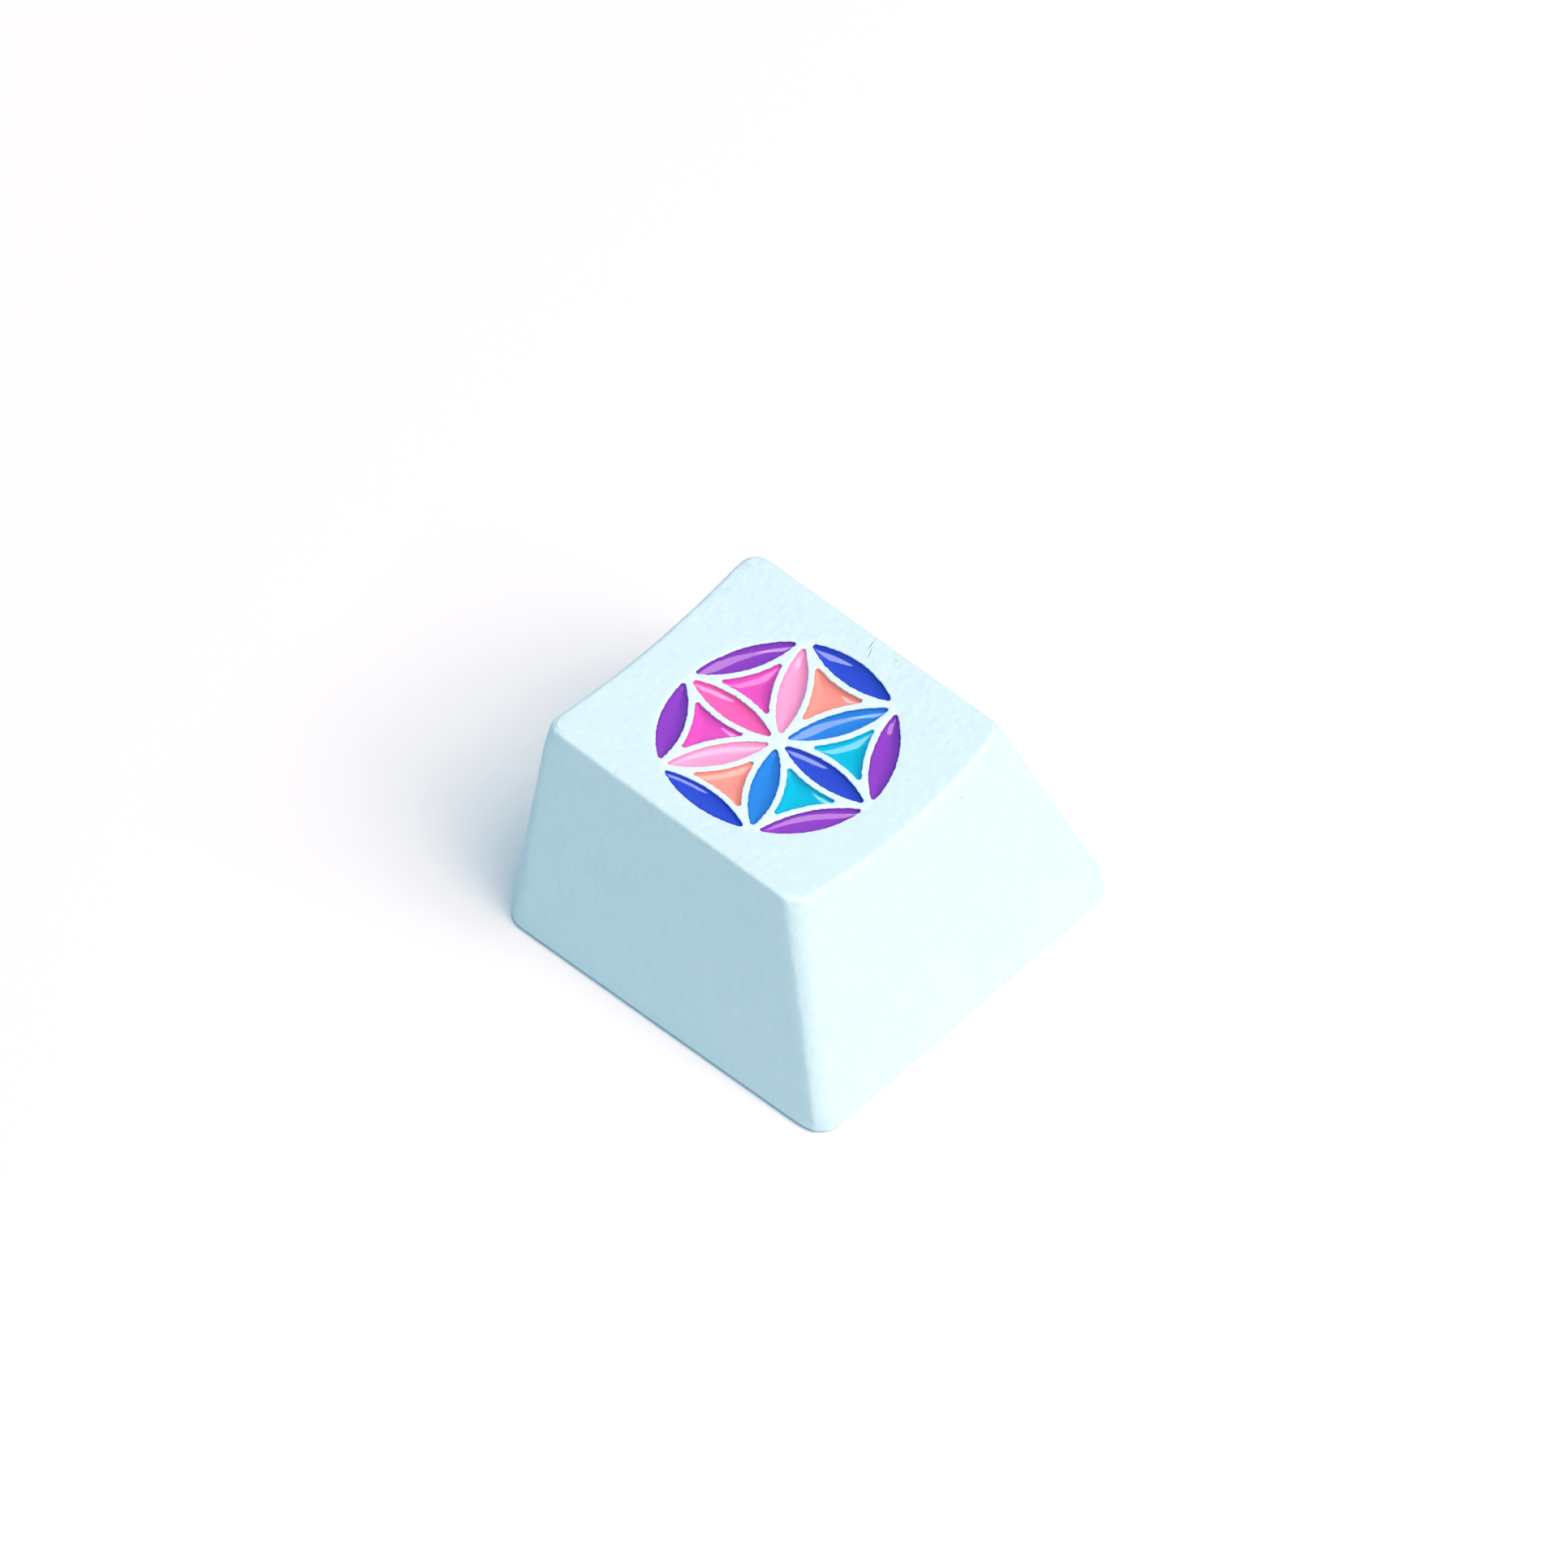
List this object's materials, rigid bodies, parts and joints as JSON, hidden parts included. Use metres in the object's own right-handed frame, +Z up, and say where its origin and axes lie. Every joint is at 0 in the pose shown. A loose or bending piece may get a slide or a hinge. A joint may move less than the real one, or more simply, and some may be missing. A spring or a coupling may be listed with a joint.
{
  "type": "artisan keycap",
  "caption": "Single-unit sculpted keycap with a dished top, a rosette of recessed glossy enamel cells, a hollow underside and a round post with a cross socket.",
  "frame": {"origin": "centre of the rim's plane, where the cap stands on a table", "axes": "+Z up through the dished top, +Y away from the typist, +X to the typist's right"},
  "size_m": [0.018, 0.018, 0.0102],
  "materials": {
    "cap_coat": "matte, fine orange-peel coat",
    "enamel_purple": "gloss enamel",
    "enamel_magenta": "gloss enamel",
    "enamel_hot_pink": "gloss enamel",
    "enamel_light_pink": "gloss enamel",
    "enamel_coral": "gloss enamel",
    "enamel_royal_blue": "gloss enamel",
    "enamel_sky_blue": "gloss enamel",
    "enamel_cyan": "gloss enamel"
  },
  "bodies": {
    "root": {"cap_body": "cap_coat", "enamel_border_1": "enamel_purple", "enamel_border_2": "enamel_royal_blue", "enamel_border_3": "enamel_purple", "enamel_border_4": "enamel_purple", "enamel_border_5": "enamel_royal_blue", "enamel_border_6": "enamel_purple", "enamel_petal_1": "enamel_hot_pink", "enamel_petal_2": "enamel_light_pink", "enamel_petal_3": "enamel_sky_blue", "enamel_petal_4": "enamel_royal_blue", "enamel_petal_5": "enamel_sky_blue", "enamel_petal_6": "enamel_light_pink", "enamel_web_1": "enamel_magenta", "enamel_web_2": "enamel_coral", "enamel_web_3": "enamel_cyan", "enamel_web_4": "enamel_cyan", "enamel_web_5": "enamel_coral", "enamel_web_6": "enamel_magenta"}
  },
  "joints": []
}
